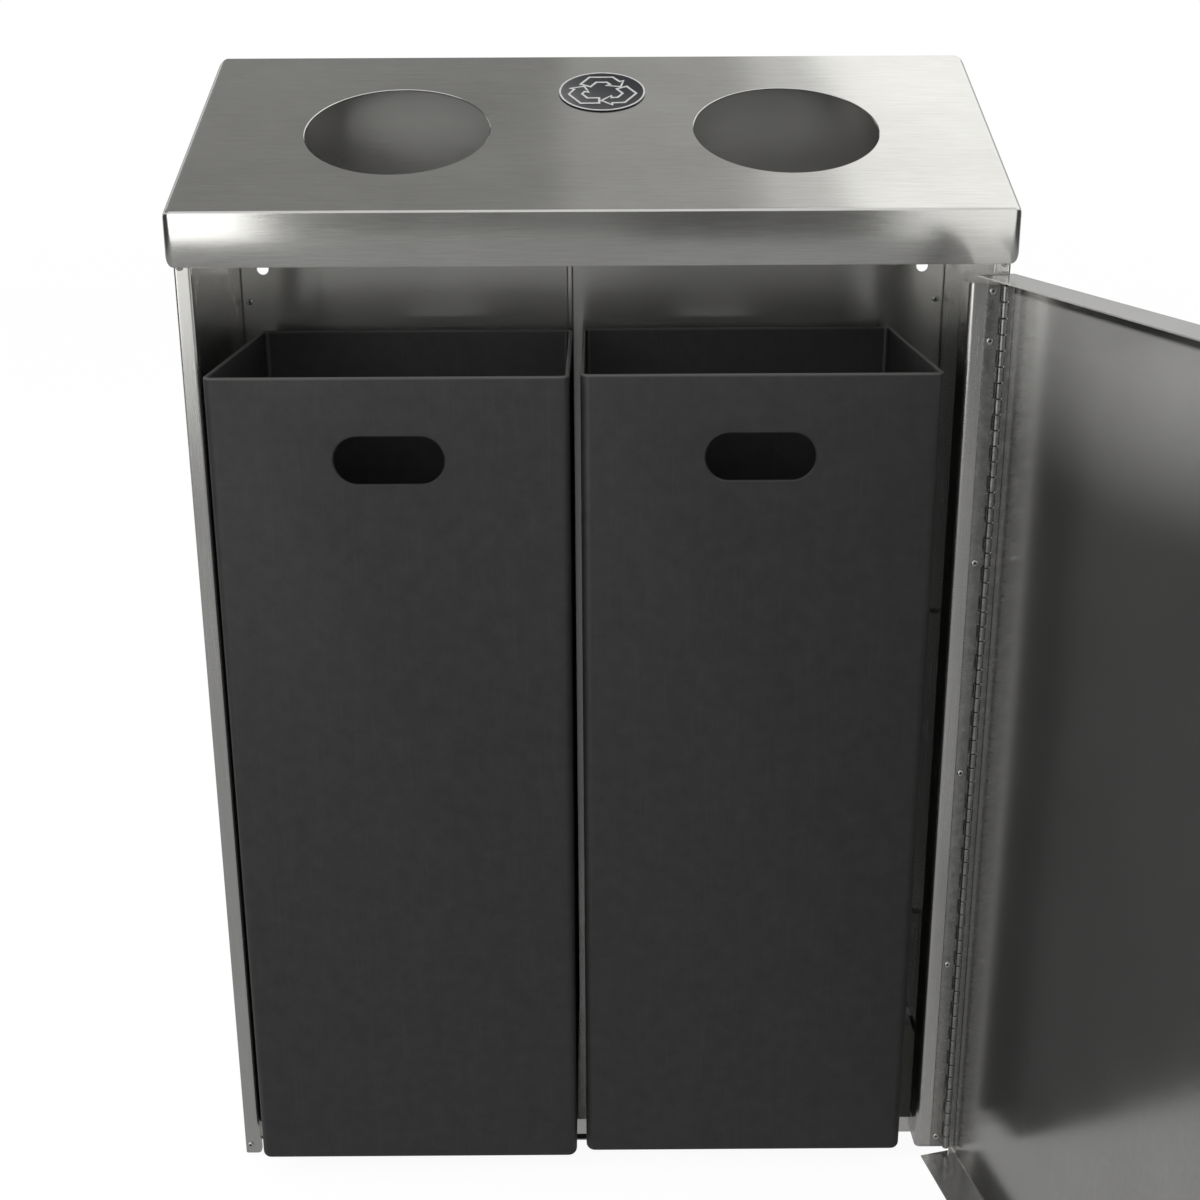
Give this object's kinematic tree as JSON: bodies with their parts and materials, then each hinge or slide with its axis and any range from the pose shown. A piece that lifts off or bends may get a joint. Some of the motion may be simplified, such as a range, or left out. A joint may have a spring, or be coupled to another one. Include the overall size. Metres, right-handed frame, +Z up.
{
  "type": "double recycling bin",
  "caption": "Free-standing steel cabinet with a sloped lid, round throws, a full-height hinged door, a cam lock and pull-out plastic liners.",
  "frame": {"origin": "on the floor under the centre of the cabinet's footprint, on the flat underside of the middle floor runner", "axes": "+X to the cabinet's right seen from the front, +Y to its back, +Z up"},
  "size_m": [0.7747, 0.8849, 0.967],
  "materials": {
    "brushed_sheet": "brushed stainless sheet, grain along its length",
    "satin_sheet": "satin stainless",
    "fastener_steel": "plain bright steel",
    "lock_plating": "nickel plated",
    "badge_black": "black with a white sign",
    "foot_rubber": "black rubber",
    "liner_plastic": "charcoal rigid plastic, fine mottle"
  },
  "bodies": {
    "cabinet": {"lid": "brushed_sheet", "recycling_badge": "badge_black", "left_side_panel": "brushed_sheet", "right_side_panel": "brushed_sheet", "back_panel": "brushed_sheet", "liner_bead": "satin_sheet", "top_rail": "brushed_sheet", "hinge_jamb": "brushed_sheet", "floor_pan": "brushed_sheet", "floor_runner": "satin_sheet", "cabinet_hinge_leaf": "satin_sheet", "hinge_pin": "fastener_steel", "pan_rivet": "fastener_steel", "hinge_rivet_1": "fastener_steel", "hinge_rivet_2": "fastener_steel", "hinge_rivet_3": "fastener_steel", "hinge_rivet_4": "fastener_steel", "hinge_rivet_5": "fastener_steel", "hinge_rivet_6": "fastener_steel", "rail_rivet_left": "fastener_steel", "rail_rivet_right": "fastener_steel", "back_rivet_left_1": "fastener_steel", "back_rivet_left_2": "fastener_steel", "back_rivet_left_3": "fastener_steel", "back_rivet_right_1": "fastener_steel", "back_rivet_right_2": "fastener_steel", "back_rivet_right_3": "fastener_steel", "lid_screw_left_front": "fastener_steel", "lid_screw_left_back": "fastener_steel", "lid_screw_right_front": "fastener_steel", "lid_screw_right_back": "fastener_steel", "foot_left_front": "foot_rubber", "foot_left_back": "foot_rubber", "foot_right_front": "foot_rubber", "foot_right_back": "foot_rubber"},
    "door": {"door_panel": "brushed_sheet", "door_hinge_leaf": "satin_sheet", "lock_housing": "lock_plating", "lock_nut": "lock_plating"},
    "lock": {"lock_plug": "lock_plating", "lock_cam": "lock_plating", "lock_cam_screw": "lock_plating"},
    "liner_left": {"left_liner": "liner_plastic"},
    "liner_right": {"right_liner": "liner_plastic"}
  },
  "joints": [
    {"name": "door_hinge", "type": "hinge", "parent": "cabinet", "child": "door", "pos_m": [0.321, -0.1243, 0.402], "axis": [0, 0, 1], "range_deg": [-100, 8]},
    {"name": "lock_turn", "type": "hinge", "parent": "door", "child": "lock", "pos_m": [0.42606, -0.72011, 0.758], "axis": [0.9848, 0.1736, 0], "range_deg": [0, 90]},
    {"name": "left_liner_slide", "type": "slide", "parent": "cabinet", "child": "liner_left", "axis": [0, -1, 0], "range_m": [-0.0288, 0.0024]},
    {"name": "right_liner_slide", "type": "slide", "parent": "cabinet", "child": "liner_right", "axis": [0, -1, 0], "range_m": [-0.0218, 0.0018]}
  ],
  "couplings": [
    {"joint": "left_liner_slide", "follows": "door_hinge", "m_per_rad": 0.0165},
    {"joint": "right_liner_slide", "follows": "door_hinge", "m_per_rad": 0.01249}
  ]
}
